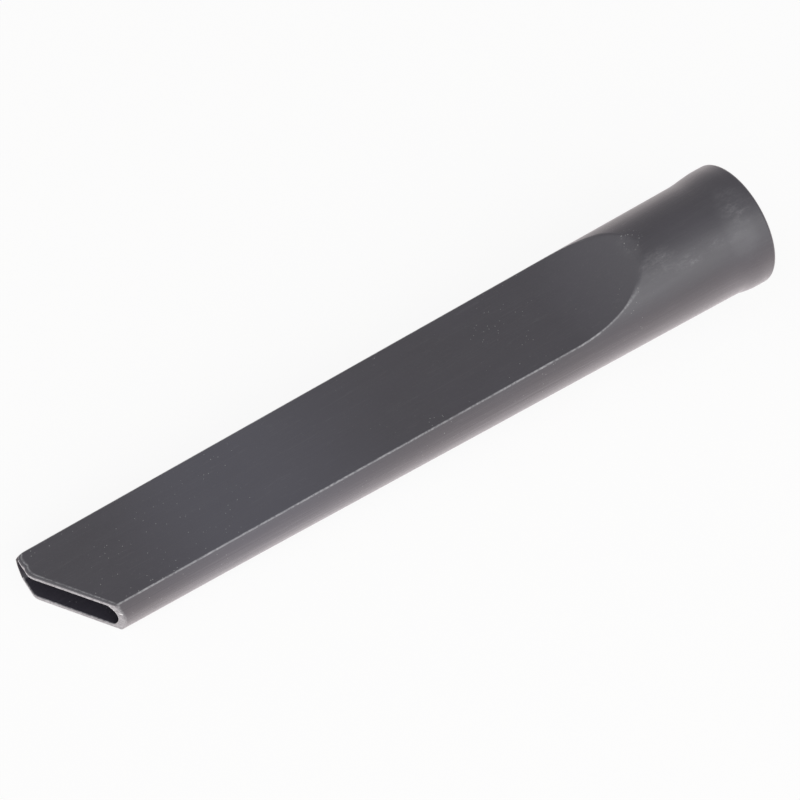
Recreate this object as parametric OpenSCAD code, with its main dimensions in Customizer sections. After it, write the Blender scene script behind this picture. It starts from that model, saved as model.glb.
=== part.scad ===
// Crevice nozzle of a vacuum cleaner, one thin-walled moulded piece.
// A slim cone is sliced by two flats, which run out in a hollow curve before
// the round push-on socket. The mouth is a slot, cut off at a slant.
// The nozzle lies as it comes to rest, on the lower lip of its mouth and on
// the front of its round end, with the socket towards +X and the table at z = 0.

/* [Tube] */
// Length from the tip of the mouth to the rim of the socket
total_len = 226; // [200:1:300]
// Width of the cone at the mouth, before the flats are cut
mouth_d = 29.8; // [26:0.2:34]
// Thickness of the moulded wall, at the flats and at the mouth
wall = 1.6; // [1.2:0.1:2.4]

/* [Flats] */
// Thickness of the nozzle over its two flats, at the mouth
mouth_thick = 12.4; // [10:0.2:18]
// Slope of each flat against the axis, in degrees
flat_taper = 0.8; // [0:0.1:1.5]
// Radius of the hollow curve in which each flat runs out
runout_r = 54; // [35:1:80]
// Length of the round end, from the top of the run-out to the rim
round_len = 38; // [36:1:60]

/* [Mouth] */
// Slant of the mouth against a square cut, in degrees
cut_angle = 35; // [0:1:50]
// Slant of the short cut that blunts the tip, in degrees (0 is a square cut)
tip_angle = 0; // [0:1:25]
// Distance of the tip from the middle of the nozzle
tip_offset = 6.7; // [3:0.1:10]
// How far the radius of the slot's round ends exceeds half the slot's height
slot_end_extra = 2; // [0.5:0.1:3]

/* [Socket] */
// Bore of the socket, which takes a tube of the same nominal size
socket_d = 32; // [30:0.5:35]
// Depth of the bore, from the rim to the stop
socket_depth = 34; // [25:1:36]
// Thickness of the socket's wall where the collar starts
socket_wall = 2.1; // [1.8:0.1:3]
// Step that stops the pushed-in tube, measured on the radius
stop_ledge = 0.6; // [0.3:0.1:1.2]
// Lead-in chamfer at the rim
lead_in = 0.8; // [0.3:0.1:1.2]

/* [Collar] */
// Length of the collar, from the end of the cone to the rim
collar_len = 9.5; // [7:0.5:15]
// Length of the curved front of the collar
flare_len = 6; // [3:0.5:6]
// Height of the collar above the cone
collar_step = 0.8; // [0.4:0.1:2]
// Rounding of the outer edge of the rim
rim_round = 1; // [0.3:0.1:1.2]

/* [Hidden] */
$fn = 180;
// Length by which a cutter or a blank runs past what it cuts
over = 3;
mouth_r = mouth_d / 2;
socket_r = socket_d / 2;
tube_r = socket_r + socket_wall;
collar_r = tube_r + collar_step;
collar_x = total_len - collar_len;
floor_x = total_len - socket_depth;
lip_z = mouth_thick / 2;

// Outer radius of the cone at a place x
cone_slope = (tube_r - mouth_r) / collar_x;
function cone_r(x) = mouth_r + cone_slope * x;

// The run-out is tangent to the flat and meets the cone round_len from the rim.
// Its centre is found in the flat's own directions, along it and square to it.
apex_x = total_len - round_len;
apex_rise = cone_r(apex_x) - lip_z;
apex_along = apex_x * cos(flat_taper) + apex_rise * sin(flat_taper);
apex_off = apex_rise * cos(flat_taper) - apex_x * sin(flat_taper);
runout_along = apex_along - sqrt(apex_off * (2 * runout_r - apex_off));
runout_x = runout_along * cos(flat_taper);

// The rear of the duct is round, and clipped by the flats and the run-outs.
// Its front is a slot, whose round ends grow and near the axis up to join_x.
// There the rear is wider by join_step, so that the two meet in a clear edge.
join_x = runout_x - over;
join_step = 0.2;
duct_r = socket_r - stop_ledge;
duct_slope = (duct_r - mouth_r + wall) / floor_x;
function rear_r(x) = mouth_r - wall + duct_slope * x;
slot_end_r = lip_z - wall + slot_end_extra;
slot_offset = mouth_r - wall - slot_end_r;
join_offset = slot_offset / 8;
join_end_r = rear_r(join_x) - join_step - join_offset;
function slot_y(x) = slot_offset + (join_offset - slot_offset) * x / join_x;
function slot_r(x) = slot_end_r + (join_end_r - slot_end_r) * x / join_x;

// At rest the lower lip touches the table, and so does the front of the round
// end or the end of the collar's curve, whichever needs the steeper tilt
curve_end_x = collar_x + flare_len;
rest_tilt = max(atan(apex_rise / apex_x), atan((collar_r - lip_z) / curve_end_x));
front_x = -lip_z * sin(rest_tilt);
back_x = total_len * cos(rest_tilt) + (collar_r - rim_round) * sin(rest_tilt);

// Front of the collar, an arc that ends level with the collar's side
flare_r = (flare_len * flare_len + collar_step * collar_step) / (2 * collar_step);

module along_x() {
    rotate([0, 90, 0]) children();
}

// Half section of the outside, with the radius to the right and x upwards
module outer_section() {
    polygon([[0, -over], [cone_r(-over), -over], [tube_r, collar_x], [0, collar_x]]);
    difference() {
        translate([0, collar_x]) square([collar_r, collar_len]);
        flare_waste();
        rim_waste();
    }
}

// What the curved front takes off the collar's block
module flare_waste() {
    difference() {
        translate([tube_r, collar_x]) square([collar_step + over, flare_len]);
        translate([collar_r - flare_r, curve_end_x]) circle(r = flare_r);
    }
}

// What the rounding takes off the rim
module rim_waste() {
    difference() {
        translate([collar_r - rim_round, total_len - rim_round])
            square([rim_round + over, rim_round + over]);
        translate([collar_r - rim_round, total_len - rim_round]) circle(r = rim_round);
    }
}

// All that lies above the upper flat and its run-out, moved in by inset
module above_flat(inset) {
    reach = mouth_d + socket_d;
    translate([0, 0, lip_z]) rotate([90, 0, 0])
        linear_extrude(height = reach, center = true) rotate(flat_taper) {
            translate([-reach, -inset]) square([reach + runout_along, runout_r + inset]);
            translate([runout_along, runout_r]) circle(r = runout_r + inset);
        }
}

module beyond_flats(inset) {
    above_flat(inset);
    mirror([0, 0, 1]) above_flat(inset);
}

module outer_body() {
    difference() {
        along_x() rotate_extrude() outer_section();
        beyond_flats(0);
    }
}

// One round end of the slot, a cone that leans towards the axis
module slot_end() {
    start = -2 * over;
    lean = atan((slot_offset - join_offset) / join_x);
    difference() {
        translate([start, slot_y(start), 0]) rotate([0, 0, -lean]) along_x()
            cylinder(h = (join_x - start) / cos(lean), r1 = slot_r(start), r2 = slot_r(join_x));
        beyond_flats(wall);
    }
}

// The slot between its round ends, up to where these cross above the flats
module slot_middle() {
    start = -2 * over;
    end = join_x / 2;
    lap = 1;
    difference() {
        linear_extrude(height = mouth_d, center = true)
            polygon([
                [start, slot_y(start) + lap],
                [end, slot_y(end) + lap],
                [end, -slot_y(end) - lap],
                [start, -slot_y(start) - lap]
            ]);
        beyond_flats(wall);
    }
}

module rear_duct() {
    start = join_x - 2 * over;
    end = floor_x + over;
    difference() {
        translate([start, 0, 0]) along_x()
            cylinder(h = end - start, r1 = rear_r(start), r2 = rear_r(end));
        beyond_flats(wall);
    }
}

// The airway from the mouth to the foot of the socket
module duct() {
    slot_end();
    mirror([0, 1, 0]) slot_end();
    slot_middle();
    rear_duct();
}

module socket_bore() {
    translate([floor_x, 0, 0]) along_x() cylinder(h = socket_depth + over, r = socket_r);
    translate([total_len - lead_in, 0, 0])
        along_x() cylinder(h = 2 * lead_in, r1 = socket_r, r2 = socket_r + 2 * lead_in);
}

// What the slanted cut and the blunting cut take off the front
module mouth_waste() {
    reach = mouth_d;
    linear_extrude(height = reach, center = true)
        polygon([
            [0, tip_offset],
            [reach * tan(tip_angle), tip_offset + reach],
            [-reach, tip_offset + reach],
            [-reach, tip_offset - 2 * reach],
            [2 * reach * tan(cut_angle), tip_offset - 2 * reach]
        ]);
}

module lay_at_rest() {
    translate([-(front_x + back_x) / 2, 0, lip_z * cos(rest_tilt)])
        rotate([0, -rest_tilt, 0]) children();
}

module crevice_nozzle() {
    color([0.31, 0.31, 0.34]) lay_at_rest() difference() {
        outer_body();
        duct();
        socket_bore();
        mouth_waste();
    }
}

crevice_nozzle();
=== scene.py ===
import math

import bmesh
import bpy
import numpy as np
from mathutils import Euler, Matrix, Vector


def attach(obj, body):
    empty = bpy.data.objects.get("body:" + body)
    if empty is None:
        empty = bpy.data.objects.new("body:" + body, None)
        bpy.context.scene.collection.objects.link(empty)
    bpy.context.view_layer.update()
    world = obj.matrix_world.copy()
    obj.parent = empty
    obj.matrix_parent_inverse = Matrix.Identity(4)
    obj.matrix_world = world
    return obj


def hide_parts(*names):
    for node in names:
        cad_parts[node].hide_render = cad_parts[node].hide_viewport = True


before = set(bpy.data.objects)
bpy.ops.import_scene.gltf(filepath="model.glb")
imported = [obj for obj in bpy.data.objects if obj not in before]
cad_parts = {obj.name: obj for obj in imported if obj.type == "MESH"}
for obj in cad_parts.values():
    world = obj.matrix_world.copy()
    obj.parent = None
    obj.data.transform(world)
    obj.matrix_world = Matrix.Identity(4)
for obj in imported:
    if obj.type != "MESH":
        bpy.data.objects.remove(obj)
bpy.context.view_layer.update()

# The nozzle's own sizes, in millimetres. Its own x runs along its axis, from the
# tip of the mouth to the rim of the socket, and its own z is square to the flats.
MM = 0.001
TOTAL_LEN = 226.0
MOUTH_R = 14.9
WALL = 1.6
LIP_Z = 6.2
FLAT_TAPER = math.radians(0.8)
RUNOUT_R = 54.0
ROUND_LEN = 38.0
CUT_ANGLE = math.radians(35)
TIP_OFFSET = 6.7
SLOT_END_EXTRA = 2.0
SOCKET_R = 16.0
SOCKET_DEPTH = 34.0
SOCKET_WALL = 2.1
STOP_LEDGE = 0.6
LEAD_IN = 0.8
COLLAR_LEN = 9.5
FLARE_LEN = 6.0
COLLAR_STEP = 0.8
RIM_ROUND = 1.0
JOIN_STEP = 0.2
JOIN_LEAD = 3.0
JOIN_SHARE = 1 / 8

# Small roundings of the edges, in millimetres
RIDGE_ROUND = 0.45
SLOT_CORNER_ROUND = 0.9
LIP_ROUND = 0.18
UPPER_LIP_RUN = 0.65
UPPER_LIP_TAPER = 0.006
UPPER_LIP_DROP = 0.4
CUT_CORNER_ROUND = 0.8
RUNOUT_SOFTNESS = 1.6
APEX_ROUND = 4.5
APEX_ROUND_FROM = 175.0
WORN_CORNER_R = 1.6
THIN_TIP = 1.15
THIN_TIP_REACH = 7.0
THIN_TIP_WIDTH = 5.0
FLARE_RUN_IN = 4.0
LEAST_ROUND = 0.05

# The collar's curve is plain below and soft above: where on a circle of radius 1 it
# starts to turn soft, and over what height
SOFT_FROM_Z = -0.6
SOFT_OVER = 0.8

# The near wall bows out a little towards the mouth, and less above its middle
BOW = 0.35
BOW_REACH = 65.0
BOW_LOSS = 0.7
BOW_LOSS_FROM_Z = 1.0
BOW_LOSS_HEIGHT = 5.0

# On that side the slot ends squarer at the mouth, and most of all below
SQUARE_END = 0.75
SQUARE_END_REACH = 25.0
SQUARE_END_WIDTH = 3.0
SQUARE_ABOVE = 0.7
SQUARE_BELOW = 1.5

# A small nick in the mouth's edge: its place across, its half width and its depth
NICK_Y = 9.4
NICK_HALF_WIDTH = 0.35
NICK_DEPTH = 0.35

# Cells of the mesh round one quarter of the section
SIDE_CELLS = 30
FILLET_CELLS = 5
FLAT_CELLS = 14

# Rows of the mesh along the nozzle. In front of FRONT_END_X they turn from the slant
# of the mouth to square, and ROW_SPREAD above 1 sets them closer at the mouth.
FRONT_END_X = 30.0
ROW_SPREAD = 1.5
LIP_ROWS = 6
FRONT_ROWS = 10
FLAT_ROWS = 33
RUNOUT_ROWS = 59
CONE_ROWS = 11
RUN_IN_ROWS = 6
FLARE_ROWS = 11
RIM_ROWS = 8
BORE_ROWS = 7
DUCT_REAR_ROWS = 30
DUCT_SLOT_ROWS = 24
DUCT_FRONT_ROWS = 8
FACE_CELLS = 4

# Rows close beside a rounded edge, in millimetres from it
BESIDE_OUTER_LIP = 0.4
BESIDE_INNER_LIP = 0.2
BEHIND_JOIN = 0.01
RIM_FACE_STEPS = (0.4, 0.05, 0.0)

# Points that lie this close together become one, in metres. Edges that turn by more
# than this angle stay sharp.
SAME_PLACE = 2e-6
SHARP_FROM = math.radians(35)

# Steps of the two searches, which close in on where a row meets a surface
HALVINGS = 50
SETTLING_STEPS = 12

# Wear of the edges, from 0 to 1. On the mouth's end face it is a painted highlight, and on
# its inner edge it is wear and a painted highlight.
RIDGE_WEAR = 0.3
RIDGE_WEAR_END_X = 174.0
RIDGE_WEAR_FADE = 10.0
OUTER_LIP_WEAR = 0.35
OUTER_CORNER_WEAR = 0.45
FACE_PAINTED_HIGHLIGHT = 0.5
INNER_WEAR_AND_HIGHLIGHT_BELOW = 0.4
INNER_WEAR_AND_HIGHLIGHT_ABOVE = 1.0

TUBE_R = SOCKET_R + SOCKET_WALL
COLLAR_R = TUBE_R + COLLAR_STEP
COLLAR_X = TOTAL_LEN - COLLAR_LEN
CURVE_END_X = COLLAR_X + FLARE_LEN
FLOOR_X = TOTAL_LEN - SOCKET_DEPTH
APEX_X = TOTAL_LEN - ROUND_LEN
DUCT_R = SOCKET_R - STOP_LEDGE
SLOT_END_R = LIP_Z - WALL + SLOT_END_EXTRA
SLOT_OFFSET = MOUTH_R - WALL - SLOT_END_R


def cone_r(x):
    """Outer radius of the cone."""
    return MOUTH_R + (TUBE_R - MOUTH_R) * x / COLLAR_X


def rear_r(x):
    """Radius of the round duct behind the slot."""
    return MOUTH_R - WALL + (DUCT_R - MOUTH_R + WALL) * x / FLOOR_X


def runout_centre():
    """Where the run-out's curve has its centre, as x and z."""
    rise = cone_r(APEX_X) - LIP_Z
    along = APEX_X * math.cos(FLAT_TAPER) + rise * math.sin(FLAT_TAPER)
    off = rise * math.cos(FLAT_TAPER) - APEX_X * math.sin(FLAT_TAPER)
    foot = along - math.sqrt(off * (2 * RUNOUT_R - off))
    x = foot * math.cos(FLAT_TAPER) - RUNOUT_R * math.sin(FLAT_TAPER)
    z = LIP_Z + foot * math.sin(FLAT_TAPER) + RUNOUT_R * math.cos(FLAT_TAPER)
    return x, z


RUNOUT_X, RUNOUT_Z = runout_centre()
JOIN_X = RUNOUT_X + RUNOUT_R * math.sin(FLAT_TAPER) - JOIN_LEAD
JOIN_OFFSET = SLOT_OFFSET * JOIN_SHARE
JOIN_END_R = rear_r(JOIN_X) - JOIN_STEP - JOIN_OFFSET


def flat_z(x, inset):
    """Height of the flat and its run-out above the axis, moved in by inset."""
    radius = RUNOUT_R + inset
    straight = LIP_Z - inset / math.cos(FLAT_TAPER) + x * math.tan(FLAT_TAPER)
    reach = np.clip(x - RUNOUT_X, 0, radius)
    curved = RUNOUT_Z - np.sqrt(radius ** 2 - reach ** 2)
    return np.where(x <= RUNOUT_X + radius * math.sin(FLAT_TAPER), straight, curved)


def soft_min(a, b, softness):
    """The smaller of two values, rounded where they cross."""
    near = np.clip(1 - np.abs(a - b) / softness, 0, 1)
    return np.minimum(a, b) - near ** 2 * softness / 4


def meeting_x(radius_at, inset):
    """Where the softened run-out is level with the round, found by halving."""
    low, high = RUNOUT_X, RUNOUT_X + RUNOUT_R
    for _ in range(HALVINGS):
        middle = (low + high) / 2
        if flat_z(middle, inset) - radius_at(middle) < RUNOUT_SOFTNESS:
            low = middle
        else:
            high = middle
    return high


def cut_x(y, z):
    """How far back the mouth is cut, with a rounded tip, a worn corner and a nick."""
    slant = (TIP_OFFSET - y) * math.tan(CUT_ANGLE)
    cut = -soft_min(np.zeros(len(y)), -slant, CUT_CORNER_ROUND)
    corner_y = math.sqrt(MOUTH_R ** 2 - LIP_Z ** 2)
    reach = np.clip(y - corner_y + WORN_CORNER_R, 0, WORN_CORNER_R)
    worn = WORN_CORNER_R - np.sqrt(WORN_CORNER_R ** 2 - reach ** 2)
    nick = NICK_DEPTH * np.exp(-((y - NICK_Y) / NICK_HALF_WIDTH) ** 2)
    return cut + (worn + nick) * np.clip(z / LIP_Z * 2 - 1, 0, 1)


def ring_columns():
    """Patch, place along the patch, and the signs of y and z, for each column."""
    side = [("side", k / SIDE_CELLS) for k in range(SIDE_CELLS)]
    fillet = [("fillet", k / FILLET_CELLS) for k in range(FILLET_CELLS)]
    flat = [("flat", 1 - k / FLAT_CELLS) for k in range(FLAT_CELLS)]
    quarter = side + fillet + flat
    back = [("flat", 0.0)] + quarter[:0:-1]
    columns = [(p, v, 1, 1) for p, v in quarter] + [(p, v, -1, 1) for p, v in back]
    columns += [(p, v, -1, -1) for p, v in quarter] + [(p, v, 1, -1) for p, v in back]
    return columns


COLUMNS = ring_columns()
PATCH = np.array([c[0] for c in COLUMNS])
ALONG = np.array([c[1] for c in COLUMNS])
Y_SIGN = np.array([c[2] for c in COLUMNS], float)
Z_SIGN = np.array([c[3] for c in COLUMNS], float)
THIN_SIDE = (PATCH == "side") & (Y_SIGN > 0)


def section(centre_y, radius, height, corner):
    """y and z of every column: round ends, rounded corners and flats."""
    inner = np.sqrt(np.maximum((radius - corner) ** 2 - (height - corner) ** 2, 0))
    turn = np.arctan2(height - corner, inner)
    side_angle = ALONG * turn
    fillet_angle = turn + ALONG * (math.pi / 2 - turn)
    y = np.where(PATCH == "side", centre_y + radius * np.cos(side_angle), 0.0)
    z = np.where(PATCH == "side", radius * np.sin(side_angle), height)
    corner_y = centre_y + inner
    y = np.where(PATCH == "fillet", corner_y + corner * np.cos(fillet_angle), y)
    z = np.where(PATCH == "fillet", height - corner + corner * np.sin(fillet_angle), z)
    y = np.where(PATCH == "flat", ALONG * corner_y, y)
    return y * Y_SIGN, z * Z_SIGN


def eased(value):
    """From 0 to 1, with a soft start and end."""
    share = np.clip(value, 0, 1)
    return share * share * (3 - 2 * share)


def ridge_corner(x):
    """Radius of the ridges, which soften where the run-out meets the round."""
    share = eased((x - APEX_ROUND_FROM) / (APEX_X - APEX_ROUND_FROM))
    return RIDGE_ROUND + (APEX_ROUND - RIDGE_ROUND) * share


def bow(x, y, z):
    """How far the near wall bows out: most at the mouth, and below its middle."""
    across = np.clip(-y / MOUTH_R, 0, 1)
    loss = BOW_LOSS * eased((z - BOW_LOSS_FROM_Z) / BOW_LOSS_HEIGHT)
    return BOW * across * eased(1 - x / BOW_REACH) * (1 - loss)


def outer_section(x, inset=0.0):
    """y and z of the outside at x, moved in by inset."""
    radius = cone_r(x) - inset
    height = soft_min(flat_z(x, inset), radius, RUNOUT_SOFTNESS)
    height = np.where(flat_z(x, inset) - radius >= RUNOUT_SOFTNESS, radius, height)
    corner = np.maximum(ridge_corner(x) - inset, LEAST_ROUND)
    y, z = section(0.0, radius, height, corner)
    return y - bow(x, y, z), z


def duct_section(x, widen=0.0):
    """y and z of the duct at x: a slot up to the join, and round behind it."""
    share = x / JOIN_X
    slot = np.asarray(x) <= JOIN_X
    centre_y = np.where(slot, SLOT_OFFSET + (JOIN_OFFSET - SLOT_OFFSET) * share, 0.0)
    slot_r = SLOT_END_R + (JOIN_END_R - SLOT_END_R) * share
    radius = np.where(slot, slot_r, rear_r(x)) + widen
    level = flat_z(x, WALL) + widen
    height = soft_min(level, radius, RUNOUT_SOFTNESS)
    height = np.where(level - radius >= RUNOUT_SOFTNESS, radius, height)
    y, z = section(centre_y, radius, height, SLOT_CORNER_ROUND + widen)
    thin = THIN_TIP * eased(1 - x / THIN_TIP_REACH)
    thin = thin * eased((y - TIP_OFFSET) / THIN_TIP_WIDTH)
    square = SQUARE_END * eased(1 - x / SQUARE_END_REACH) * (z / LIP_Z) ** 2
    square = square * np.where(z < 0, SQUARE_BELOW, SQUARE_ABOVE)
    square = square * eased((-y - SLOT_OFFSET) / SQUARE_END_WIDTH)
    return y + thin - square - bow(x, y, z), z


def slanted_row(section_at, share, back=0.0, grow=0.0):
    """A row between the cut of the mouth (share 0) and the square end of the front."""
    x = np.full(len(COLUMNS), FRONT_END_X * share)
    for _ in range(SETTLING_STEPS):
        y, z = section_at(x, grow)
        cut = cut_x(y, z) + back / math.cos(CUT_ANGLE)
        x = cut + (FRONT_END_X - cut) * share
    return np.stack([x, y, z], 1)


def square_row(section_at, x):
    """A row square to the axis, on the outside or in the duct."""
    xs = np.full(len(COLUMNS), float(x))
    y, z = section_at(xs, 0.0)
    return np.stack([xs, y, z], 1)


def round_row(x, radius):
    """A row square to the axis, on a circle."""
    xs = np.full(len(COLUMNS), float(x))
    y, z = section(0.0, radius, radius, RIDGE_ROUND)
    return np.stack([xs, y, z], 1)


def places(start, end, steps):
    """Evenly spaced places from start to end, without the start."""
    return np.linspace(start, end, steps + 1)[1:]


def lip_rows(section_at, run, drop):
    """The rounded edge of the mouth, from its end face onto the wall."""
    rows = []
    for k in range(LIP_ROWS):
        angle = math.pi / 2 * k / (LIP_ROWS - 1)
        grow = drop * (1 - math.sin(angle))
        rows.append(slanted_row(section_at, 0.0, run * (1 - math.cos(angle)), grow))
    return rows


def outer_lip():
    """Run and drop of the mouth's outer edge, which slopes down along the upper flat.

    The slope starts on the last quarter of each side, below the ridge.
    """
    share = np.where(PATCH == "side", np.clip(ALONG * 4 - 3, 0, 1), 1.0)
    share = np.where(Z_SIGN > 0, share, 0.0)
    across = Y_SIGN * np.where(PATCH == "flat", ALONG * MOUTH_R, MOUTH_R)
    run = UPPER_LIP_RUN + UPPER_LIP_TAPER * across
    run = LIP_ROUND + (run - LIP_ROUND) * share
    drop = LIP_ROUND + (UPPER_LIP_DROP - LIP_ROUND) * share
    return run, drop


def outer_rows():
    """The outside, from the mouth to where the collar's curve begins."""
    run, drop = outer_lip()
    rows = lip_rows(outer_section, run, drop)
    rows.append(slanted_row(outer_section, 0.0, run + BESIDE_OUTER_LIP))
    for k in range(2, FRONT_ROWS + 1):
        rows.append(slanted_row(outer_section, (k / FRONT_ROWS) ** ROW_SPREAD))
    foot_x = RUNOUT_X + RUNOUT_R * math.sin(FLAT_TAPER)
    rows += [square_row(outer_section, x) for x in places(FRONT_END_X, foot_x, FLAT_ROWS)]
    end = meeting_x(cone_r, 0.0)
    rows += [square_row(outer_section, x) for x in places(foot_x, end, RUNOUT_ROWS)]
    start = COLLAR_X - FLARE_RUN_IN
    rows += [round_row(x, cone_r(x)) for x in places(end, start, CONE_ROWS)]
    return rows


def flare_row(x):
    """The collar's curved front: soft above, with its plain foot below."""
    curve_r = (FLARE_LEN ** 2 + COLLAR_STEP ** 2) / (2 * COLLAR_STEP)
    drop = curve_r - math.sqrt(curve_r ** 2 - (CURVE_END_X - max(x, COLLAR_X)) ** 2)
    plain = COLLAR_R - drop if x > COLLAR_X else cone_r(x)
    run = eased((x - COLLAR_X + FLARE_RUN_IN) / (FLARE_LEN + FLARE_RUN_IN))
    soft = cone_r(x) + (COLLAR_R - cone_r(x)) * run
    y, z = section(0.0, 1.0, 1.0, RIDGE_ROUND / TUBE_R)
    radius = plain + (soft - plain) * eased((z - SOFT_FROM_Z) / SOFT_OVER)
    return np.stack([np.full(len(COLUMNS), float(x)), y * radius, z * radius], 1)


def collar_rows():
    """The collar, from the start of its curve over the rounded rim."""
    rows = [flare_row(x) for x in places(COLLAR_X - FLARE_RUN_IN, COLLAR_X, RUN_IN_ROWS)]
    rows += [flare_row(x) for x in places(COLLAR_X, CURVE_END_X, FLARE_ROWS)]
    for k in range(RIM_ROWS + 1):
        angle = math.radians(90 * k / RIM_ROWS)
        x = TOTAL_LEN - RIM_ROUND * (1 - math.sin(angle))
        rows.append(round_row(x, COLLAR_R - RIM_ROUND * (1 - math.cos(angle))))
    return rows


def socket_rows():
    """The rim's face, the lead-in, the bore and the stop ledge."""
    rows = [round_row(TOTAL_LEN, SOCKET_R + LEAD_IN + step) for step in RIM_FACE_STEPS]
    bore_x = TOTAL_LEN - LEAD_IN
    rows.append(round_row(bore_x, SOCKET_R))
    rows += [round_row(x, SOCKET_R) for x in places(bore_x, FLOOR_X, BORE_ROWS)]
    rows.append(round_row(FLOOR_X, DUCT_R))
    return rows


def duct_rows():
    """The duct, from the stop ledge forward to the mouth's inner edge."""
    end = min(meeting_x(rear_r, WALL), FLOOR_X)
    foot_x = RUNOUT_X + (RUNOUT_R + WALL) * math.sin(FLAT_TAPER)
    rows = [square_row(duct_section, x) for x in np.linspace(end, foot_x, DUCT_REAR_ROWS)]
    rows.append(square_row(duct_section, JOIN_X + BEHIND_JOIN))
    slot_xs = np.linspace(JOIN_X, FRONT_END_X, DUCT_SLOT_ROWS)
    rows += [square_row(duct_section, x) for x in slot_xs]
    for k in range(DUCT_FRONT_ROWS - 1, 0, -1):
        rows.append(slanted_row(duct_section, (k / DUCT_FRONT_ROWS) ** ROW_SPREAD))
    rows.append(slanted_row(duct_section, 0.0, LIP_ROUND + BESIDE_INNER_LIP))
    return rows + lip_rows(duct_section, LIP_ROUND, LIP_ROUND)[::-1]


def face_rows(inner, outer):
    """The end face of the mouth, between its two rounded edges."""
    return [inner + (outer - inner) * k / FACE_CELLS for k in range(1, FACE_CELLS)]


def rest_tilt():
    """Slope at which the nozzle lies on its lower lip and its round end."""
    rise = cone_r(APEX_X) - LIP_Z
    return max(math.atan(rise / APEX_X), math.atan((COLLAR_R - LIP_Z) / CURVE_END_X))


def rest_move():
    """Where the nozzle's own origin comes to lie, in millimetres."""
    tilt = rest_tilt()
    front = -LIP_Z * math.sin(tilt)
    back = TOTAL_LEN * math.cos(tilt) + (COLLAR_R - RIM_ROUND) * math.sin(tilt)
    return (-(front + back) / 2, 0.0, LIP_Z * math.cos(tilt))


def laid_at_rest(points):
    """Points in the nozzle's own millimetres, moved to the frame, in metres."""
    turn = np.array(Matrix.Rotation(-rest_tilt(), 3, "Y"))
    return (points @ turn.T + np.array(rest_move())) * MM


def outer_wear(rows):
    """Wear of the outside: on the mouth's outer edge, and on the ridges."""
    wear_and_highlight = np.zeros((len(rows), len(COLUMNS)))
    row_x = np.array([row[0, 0] for row in rows])
    ridge = RIDGE_WEAR * (1 - eased((row_x - RIDGE_WEAR_END_X) / RIDGE_WEAR_FADE))
    wear_and_highlight[:, PATCH == "fillet"] = ridge[:, None]
    wear_and_highlight[LIP_ROWS - 1] = OUTER_LIP_WEAR
    rounded = (PATCH == "side") | (Z_SIGN < 0)
    wear_and_highlight[1:LIP_ROWS - 1] = np.where(rounded, OUTER_LIP_WEAR, 0.0)
    wear_and_highlight[0] = OUTER_CORNER_WEAR
    return wear_and_highlight


def inner_wear_and_highlight(rows):
    """Wear and painted highlight of the duct: only on the mouth's inner edge."""
    wear_and_highlight = np.zeros((len(rows), len(COLUMNS)))
    wear_and_highlight[-LIP_ROWS:] = np.where(Z_SIGN < 0, INNER_WEAR_AND_HIGHLIGHT_BELOW, INNER_WEAR_AND_HIGHLIGHT_ABOVE)
    return wear_and_highlight


def all_wear_and_highlight(outer, rear, duct, face):
    """Wear of every point of the mesh, with painted highlight on the mouth's end face and
    inner edge. The thin side of the mouth has none.
    """
    width = len(COLUMNS)
    wear_and_highlight = [outer_wear(outer), np.zeros((len(rear), width))]
    # the end face's lighter colour is a painted highlight
    wear_and_highlight += [inner_wear_and_highlight(duct), np.full((len(face), width), FACE_PAINTED_HIGHLIGHT)]
    wear_and_highlight = np.concatenate(wear_and_highlight)
    wear_and_highlight[:, THIN_SIDE] = 0.0
    return wear_and_highlight


def painted_shade_cells(rows, front_count, face):
    """1 for each cell that gets the duller copy of the plastic as painted shade: socket, duct
    and thin side.
    """
    painted_shade = np.zeros((len(rows), len(COLUMNS)), int)
    lip = len(rows) - len(face) - LIP_ROWS
    painted_shade[front_count + len(RIM_FACE_STEPS):lip] = 1
    painted_shade[lip:, THIN_SIDE] = 1
    return painted_shade


def ring_cells(count):
    """Cells between each row and the next, where the last row meets the first."""
    width = len(COLUMNS)
    cells = []
    for i in range(count):
        here, ahead = i * width, (i + 1) % count * width
        for j in range(width):
            k = (j + 1) % width
            cells.append((here + j, ahead + j, ahead + k, here + k))
    return cells


def nozzle_mesh():
    """Rows over the outside, round the rim, back through the duct and over the face."""
    outer, collar, socket, duct = outer_rows(), collar_rows(), socket_rows(), duct_rows()
    face = face_rows(duct[-1], outer[0])
    rows = outer + collar + socket + duct + face
    points = laid_at_rest(np.concatenate(rows))
    mesh = bpy.data.meshes.new("nozzle")
    mesh.from_pydata([tuple(p) for p in points], [], ring_cells(len(rows)))
    painted_shade = painted_shade_cells(rows, len(outer) + len(collar), face)
    mesh.polygons.foreach_set("material_index", painted_shade.ravel())
    wear_and_highlight = all_wear_and_highlight(outer, collar + socket, duct, face)
    layer = mesh.attributes.new("wear_and_highlight", "FLOAT", "POINT")
    layer.data.foreach_set("value", wear_and_highlight.ravel())
    return mesh


def tidy_mesh(obj):
    """Joins the columns that run together on the round end, and sets sharp edges."""
    grid = bmesh.new()
    grid.from_mesh(obj.data)
    bmesh.ops.remove_doubles(grid, verts=grid.verts, dist=SAME_PLACE)
    bmesh.ops.recalc_face_normals(grid, faces=grid.faces)
    grid.to_mesh(obj.data)
    grid.free()
    obj.data.shade_smooth()
    obj.data.set_sharp_from_angle(angle=SHARP_FROM)


def make_nozzle():
    """The nozzle's visible shell, which stands for the solid."""
    nozzle = bpy.data.objects.new("nozzle_shell", nozzle_mesh())
    bpy.context.scene.collection.objects.link(nozzle)
    tidy_mesh(nozzle)
    nozzle.modifiers.new("even_normals", "WEIGHTED_NORMAL").keep_sharp = True
    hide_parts("crevice_nozzle")
    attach(nozzle, "root")
    return nozzle


# Short names for the nodes of a material. A value is a number, a tuple or a socket.

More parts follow.
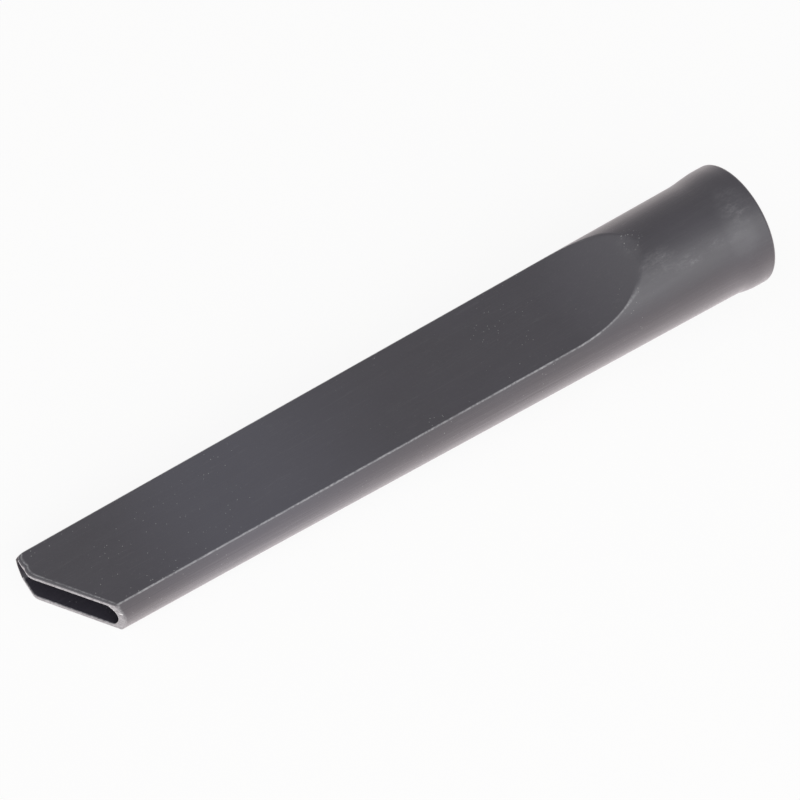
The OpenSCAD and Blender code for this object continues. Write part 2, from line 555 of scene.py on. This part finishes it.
def put(tree, value, socket):
    """Gives a node's input its value, or links it to another node's output."""
    if isinstance(value, bpy.types.NodeSocket):
        tree.links.new(value, socket)
    else:
        socket.default_value = value


def maths(tree, operation, a, b=0.0):
    """A sum of two numbers, or another operation on them."""
    node = tree.nodes.new("ShaderNodeMath")
    node.operation = operation
    put(tree, a, node.inputs[0])
    put(tree, b, node.inputs[1])
    return node.outputs[0]


def vector_maths(tree, operation, a, b=(0, 0, 0)):
    """The same for vectors. A length and a dot product give a number."""
    node = tree.nodes.new("ShaderNodeVectorMath")
    node.operation = operation
    put(tree, a, node.inputs[0])
    put(tree, b, node.inputs[1])
    single = operation in ("LENGTH", "DOT_PRODUCT")
    return node.outputs["Value" if single else "Vector"]


def spread(tree, value, low, high, to_low=0.0, to_high=1.0):
    """A value eased from one range onto another, and held at its ends."""
    node = tree.nodes.new("ShaderNodeMapRange")
    node.interpolation_type = "SMOOTHSTEP"
    put(tree, value, node.inputs["Value"])
    put(tree, low, node.inputs["From Min"])
    put(tree, high, node.inputs["From Max"])
    put(tree, to_low, node.inputs["To Min"])
    put(tree, to_high, node.inputs["To Max"])
    return node.outputs["Result"]


def blended(tree, share, a, b):
    """Colour a, with as much of colour b over it as the share says."""
    node = tree.nodes.new("ShaderNodeMix")
    node.data_type = "RGBA"
    put(tree, share, node.inputs[0])
    put(tree, a, node.inputs[6])
    put(tree, b, node.inputs[7])
    return node.outputs[2]


def noise(tree, where, scale, detail=2.0, roughness=0.5):
    """Noise from 0 to 1. The scale, per mm, is one number, or three for a stretch."""
    if isinstance(scale, tuple):
        where, scale = vector_maths(tree, "MULTIPLY", where, scale), 1.0
    node = tree.nodes.new("ShaderNodeTexNoise")
    put(tree, where, node.inputs["Vector"])
    put(tree, scale, node.inputs["Scale"])
    put(tree, detail, node.inputs["Detail"])
    put(tree, roughness, node.inputs["Roughness"])
    return node.outputs["Fac"]


def specks(tree, where, cell, radius):
    """Dots wherever one of many scattered points lies near the surface."""
    node = tree.nodes.new("ShaderNodeTexVoronoi")
    put(tree, where, node.inputs["Vector"])
    put(tree, 1 / cell, node.inputs["Scale"])
    return spread(tree, node.outputs["Distance"], radius / cell, 0.5 * radius / cell)


def hairlines(tree, where, scale, width):
    """Thin lines where a stretched noise passes its middle."""
    level = maths(tree, "SUBTRACT", noise(tree, where, scale, 1.0), 0.5)
    return spread(tree, maths(tree, "ABSOLUTE", level), width, 0.0)


def patch(tree, where, centre, size):
    """1 round a place on the nozzle, falling to 0 at the size given each way."""
    off = vector_maths(tree, "SUBTRACT", where, centre)
    off = vector_maths(tree, "DIVIDE", off, size)
    return spread(tree, vector_maths(tree, "LENGTH", off), 1.0, 0.35)


def own_millimetres(tree):
    """The nozzle's own x, y and z in millimetres, from its place in the frame."""
    place = tree.nodes.new("ShaderNodeTexCoord").outputs["Object"]
    mapping = tree.nodes.new("ShaderNodeMapping")
    turn = Matrix.Rotation(rest_tilt(), 3, "Y")
    mapping.inputs["Scale"].default_value = (1 / MM, 1 / MM, 1 / MM)
    mapping.inputs["Rotation"].default_value = turn.to_euler()
    mapping.inputs["Location"].default_value = -(turn @ Vector(rest_move()))
    put(tree, place, mapping.inputs["Vector"])
    return mapping.outputs["Vector"]


# The plastic's own colours, from its deepest grey, with a paler grey that is painted light on
# its front half
DEEP_GREY = (0.027, 0.025, 0.032, 1)
CLOUD_GREY = (0.037, 0.034, 0.047, 1)
GRAIN_GREY = (0.047, 0.044, 0.054, 1)
PAINTED_LIGHT_GREY = (0.060, 0.060, 0.080, 1)
SHEEN_TINT = (1.0, 0.95, 0.99, 1)

# Colours of what use has left on it
HAIRLINE = (0.2, 0.2, 0.21, 1)
SCUFF = (0.24, 0.235, 0.25, 1)
WORN_AND_HIGHLIGHT = (0.60, 0.60, 0.62, 1)
DUST = (0.5, 0.5, 0.5, 1)
SCRATCH_COLOUR = (0.006, 0.006, 0.007, 1)
CHIP_COLOUR = (0.9, 0.9, 0.9, 1)

# The front half is paler as painted light, between places along the nozzle that each have a
# soft edge
PAINTED_LIGHT_SHARE = 0.7
PAINTED_LIGHT_FRONT = (18, 50)
PAINTED_LIGHT_BACK = (115, 62)

# Below the ridges the streaks are deeper: heights on the wall, and how much deeper
STREAKED_Z = (5.6, 3.6)
STREAKS_DEEPER = 3.0

# Strength and depth in metres of the surface's relief
RELIEF = 0.35
RELIEF_DEPTH = 0.00006

# Places that the photo shows rubbed: middle and reach each way, and how strongly
RUBBED = [
    ((191.0, -8.0, 15.8), (8.0, 5.0, 5.0), 0.6),
    ((199.0, -11.5, 13.7), (7.0, 2.6, 3.2), 0.75),
    ((211.5, -11.1, 14.2), (7.0, 2.4, 3.0), 0.5),
    ((219.0, -5.0, 18.0), (6.0, 9.0, 6.0), 0.4),
    ((186.5, 1.0, 17.2), (5.0, 6.5, 3.0), 0.25),
    ((222.0, 14.0, 12.0), (7.0, 5.0, 5.0), 0.25),
]

# Where small chips of white dust lie thickest, above the run-out
CHALKED = ((188.5, 2.0, 17.5), (4.0, 5.0, 3.0))

# A white chip beside the mouth and a dark scratch on the near wall
CHIP = ((15.0, -14.9, 2.6), (0.55, 1.5, 0.4))
SCRATCH = ((25.0, -15.3, -0.3), (4.5, 3.0, 0.22))


def along(tree, own):
    """The place along the nozzle, from the tip of its mouth."""
    return vector_maths(tree, "DOT_PRODUCT", own, (1, 0, 0))


def off_axis(tree, own):
    """The height above the nozzle's own axis."""
    return vector_maths(tree, "DOT_PRODUCT", own, (0, 0, 1))


def dusted(tree, own):
    """Small chips of dust: in loose clusters on the flats, thick above the run-out."""
    loose = specks(tree, own, 1.3, 0.13)
    cluster = spread(tree, noise(tree, own, 0.06, 2.0), 0.45, 0.6, 0.1, 1.0)
    ahead = spread(tree, along(tree, own), 192, 180, 0.15, 1.0)
    loose = maths(tree, "MULTIPLY", loose, maths(tree, "MULTIPLY", cluster, ahead))
    thick = maths(tree, "MULTIPLY", specks(tree, own, 0.9, 0.2), patch(tree, own, *CHALKED))
    return maths(tree, "MAXIMUM", loose, thick)


def rubbed(tree, own):
    """How rubbed the surface is: mottled patches on the round end."""
    total = 0.0
    for centre, size, strength in RUBBED:
        share = maths(tree, "MULTIPLY", patch(tree, own, centre, size), strength)
        total = maths(tree, "ADD", share, total)
    coarse = spread(tree, noise(tree, own, (0.2, 0.5, 0.5), 3.0, 0.6), 0.3, 0.75)
    fine = spread(tree, noise(tree, own, (0.9, 2.0, 2.0), 4.0, 0.75), 0.3, 0.8)
    return maths(tree, "MULTIPLY", total, maths(tree, "MULTIPLY", coarse, fine))


def worn_and_highlit_edges(tree, own):
    """How worn the ridges and the mouth's edges are, with painted highlight on the mouth's
    end face and inner edge, broken up along their length.
    """
    node = tree.nodes.new("ShaderNodeAttribute")
    node.attribute_name = "wear_and_highlight"
    broken = spread(tree, noise(tree, own, 1.1, 4.0, 0.7), 0.32, 0.62, 0.2, 1.0)
    slow = spread(tree, noise(tree, own, 0.12, 2.0), 0.3, 0.7, 0.6, 1.2)
    return maths(tree, "MULTIPLY", node.outputs["Fac"], maths(tree, "MULTIPLY", broken, slow))


def colour_and_painted_light(tree, own, grain):
    """The plastic's own colour: cloudy and grainy, with painted light that makes its front
    half paler.
    """
    colour = blended(tree, noise(tree, own, 0.05, 3.0), DEEP_GREY, CLOUD_GREY)
    grainy = spread(tree, grain, 0.3, 0.7, 0.0, 0.25)
    colour = blended(tree, grainy, colour, GRAIN_GREY)
    # painted light: the front half is made paler, standing in for the light that falls more
    # strongly on the mouth end
    painted_light = spread(tree, along(tree, own), *PAINTED_LIGHT_BACK, 0.0, PAINTED_LIGHT_SHARE)
    front = spread(tree, along(tree, own), *PAINTED_LIGHT_FRONT)
    return blended(tree, maths(tree, "MULTIPLY", painted_light, front), colour, PAINTED_LIGHT_GREY)


def used_colour(tree, own, colour, lines, scuff):
    """The colour with what use has left on it: hairlines, scuffs, wear with painted
    highlight, dust, a chip.
    """
    faint_lines = maths(tree, "MULTIPLY", lines, 0.08)
    dust = maths(tree, "MULTIPLY", dusted(tree, own), 0.8)
    colour = blended(tree, faint_lines, colour, HAIRLINE)
    colour = blended(tree, scuff, colour, SCUFF)
    # lighter colour of worn edges, and painted highlight on the mouth's end face and inner
    # edge
    colour = blended(tree, worn_and_highlit_edges(tree, own), colour, WORN_AND_HIGHLIGHT)
    colour = blended(tree, dust, colour, DUST)
    colour = blended(tree, patch(tree, own, *SCRATCH), colour, SCRATCH_COLOUR)
    return blended(tree, patch(tree, own, *CHIP), colour, CHIP_COLOUR)


def roughness(tree, own, scuff):
    """Uneven along the nozzle, and rougher where it is scuffed."""
    rough = spread(tree, noise(tree, own, (0.05, 0.4, 0.4), 3.0), 0.2, 0.8, 0.36, 0.46)
    return maths(tree, "ADD", rough, maths(tree, "MULTIPLY", scuff, 0.25))


def relief(tree, own, grain, lines):
    """The surface's grain, its hairlines, and streaks that are deeper low on its walls."""
    low = spread(tree, off_axis(tree, own), *STREAKED_Z)
    ahead = spread(tree, along(tree, own), 195, 165, 0.2, 1.0)
    low = maths(tree, "MULTIPLY", low, ahead)
    deeper = maths(tree, "ADD", maths(tree, "MULTIPLY", low, STREAKS_DEEPER), 1.0)
    streaks = noise(tree, own, (0.012, 1.3, 1.3), 3.0, 0.6)
    height = maths(tree, "ADD", grain, maths(tree, "MULTIPLY", streaks, deeper))
    height = maths(tree, "ADD", height, maths(tree, "MULTIPLY", lines, -0.6))
    bump = tree.nodes.new("ShaderNodeBump")
    bump.inputs["Strength"].default_value = RELIEF
    bump.inputs["Distance"].default_value = RELIEF_DEPTH
    put(tree, height, bump.inputs["Height"])
    return bump.outputs["Normal"]


def plastic(name, gloss, sheen):
    """The moulded plastic. Its sheen is the dull bloom that use leaves outside."""
    material = bpy.data.materials.new(name)
    material.use_nodes = True
    tree = material.node_tree
    shader = tree.nodes["Principled BSDF"]
    shader.inputs["Specular IOR Level"].default_value = gloss
    shader.inputs["Sheen Weight"].default_value = sheen
    shader.inputs["Sheen Roughness"].default_value = 0.5
    shader.inputs["Sheen Tint"].default_value = SHEEN_TINT
    own = own_millimetres(tree)
    scuff = rubbed(tree, own)
    lines = hairlines(tree, own, (0.02, 0.7, 0.7), 0.006)
    grain = noise(tree, own, 1.6, 3.0, 0.6)
    colour = used_colour(tree, own, colour_and_painted_light(tree, own, grain), lines, scuff)
    put(tree, colour, shader.inputs["Base Color"])
    put(tree, roughness(tree, own, scuff), shader.inputs["Roughness"])
    put(tree, relief(tree, own, grain, lines), shader.inputs["Normal"])
    return material


# The floor's colour, the tint that the gloss sees in it, and the strip on each side
# over which what the gloss sees of it dims, in metres
FLOOR_COLOUR = (0.92, 0.90, 0.89, 1)
FLOOR_TINT = (1.0, 0.89, 0.865, 1)
FLOOR_DIMS_OVER = (0.025, 0.12)
FLOOR_DIMS_BY = 0.25
FLOOR_WHITE = 0.9

# The world's light: its level all round, and how it leans with the direction
WORLD_LEVEL = 0.67
WORLD_LEAN = (-0.51, -0.46, -0.12)

# The lamp's place and sides in metres, and its energy in watts
LAMP_PLACE = (-0.1, -0.95, 0.75)
LAMP_SIDES = (1.6, 1.2)
LAMP_ENERGY = 8.3

# The camera's place in metres, its turn in degrees and its lens in millimetres
CAMERA_PLACE = (-0.21599, -0.2908, 0.51348)
CAMERA_TURN = (35.9225, -2.0908, -33.3169)
CAMERA_LENS = 101.515


def floor_material():
    """A pale floor that shows white, and keeps the shadow as a soft grey."""
    material = bpy.data.materials.new("pale_floor")
    material.use_nodes = True
    tree = material.node_tree
    shader = tree.nodes["Principled BSDF"]
    shader.inputs["Base Color"].default_value = FLOOR_COLOUR
    shader.inputs["Roughness"].default_value = 0.9
    shader.inputs["Specular IOR Level"].default_value = 0.0

    path = tree.nodes.new("ShaderNodeLightPath")
    mirrored = path.outputs["Is Glossy Ray"]
    glow = tree.nodes.new("ShaderNodeEmission")
    put(tree, blended(tree, mirrored, (1, 1, 1, 1), FLOOR_TINT), glow.inputs["Color"])
    place = tree.nodes.new("ShaderNodeTexCoord").outputs["Object"]
    aside = maths(tree, "ABSOLUTE", vector_maths(tree, "DOT_PRODUCT", place, (0, 1, 0)))
    dimmer = spread(tree, aside, *FLOOR_DIMS_OVER, 0.0, FLOOR_DIMS_BY)
    dimmer = maths(tree, "MULTIPLY", mirrored, dimmer)
    put(tree, maths(tree, "SUBTRACT", 1.0, dimmer), glow.inputs["Strength"])

    seen = maths(tree, "MULTIPLY", path.outputs["Is Camera Ray"], FLOOR_WHITE)
    mixer = tree.nodes.new("ShaderNodeMixShader")
    put(tree, maths(tree, "ADD", seen, mirrored), mixer.inputs[0])
    put(tree, shader.outputs[0], mixer.inputs[1])
    put(tree, glow.outputs[0], mixer.inputs[2])
    put(tree, mixer.outputs[0], tree.nodes["Material Output"].inputs["Surface"])
    return material


def make_world():
    """White to the camera. Its light is bright in front and dims towards the back."""
    world = bpy.data.worlds.new("studio")
    world.use_nodes = True
    tree = world.node_tree
    background = tree.nodes["Background"]
    direction = tree.nodes.new("ShaderNodeTexCoord").outputs["Generated"]
    lean = vector_maths(tree, "DOT_PRODUCT", direction, WORLD_LEAN)
    level = maths(tree, "MAXIMUM", maths(tree, "ADD", lean, WORLD_LEVEL), 0.0)
    path = tree.nodes.new("ShaderNodeLightPath")
    strength = tree.nodes.new("ShaderNodeMix")
    put(tree, path.outputs["Is Camera Ray"], strength.inputs[0])
    put(tree, level, strength.inputs[2])
    put(tree, 1.0, strength.inputs[3])
    background.inputs["Color"].default_value = (1, 1, 1, 1)
    put(tree, strength.outputs[0], background.inputs["Strength"])
    bpy.context.scene.world = world


def make_lamp():
    """A wide soft lamp above the front."""
    data = bpy.data.lights.new("soft_lamp", "AREA")
    data.shape = "RECTANGLE"
    data.size, data.size_y = LAMP_SIDES
    data.energy = LAMP_ENERGY
    lamp = bpy.data.objects.new("soft_lamp", data)
    lamp.location = LAMP_PLACE
    lamp.rotation_euler = (-lamp.location).to_track_quat("-Z", "Y").to_euler()
    bpy.context.scene.collection.objects.link(lamp)


def make_stage():
    """The floor, the world and the lamp."""
    bpy.ops.mesh.primitive_plane_add(size=6)
    floor = bpy.context.object
    floor.name = "floor"
    floor.data.materials.append(floor_material())
    make_world()
    make_lamp()


def make_camera():
    """The camera, where it sees the nozzle as the photo does."""
    data = bpy.data.cameras.new("camera")
    data.sensor_width = 36
    data.lens = CAMERA_LENS
    data.clip_end = 20
    camera = bpy.data.objects.new("camera", data)
    camera.location = CAMERA_PLACE
    turn = [math.radians(a) for a in CAMERA_TURN]
    camera.rotation_euler = Euler(turn, "XYZ")
    bpy.context.scene.collection.objects.link(camera)
    bpy.context.scene.camera = camera


nozzle = make_nozzle()
nozzle.data.materials.append(plastic("dark_plastic", gloss=1.0, sheen=0.65))
# A duller copy of the plastic, with less gloss and no sheen, darkens the socket, the duct and
# the thin side of the mouth as painted shade
nozzle.data.materials.append(plastic("duct_plastic_painted_shade", gloss=0.35, sheen=0.0))
make_stage()
make_camera()
bpy.context.scene.view_settings.view_transform = "Standard"

bpy.context.view_layer.update()
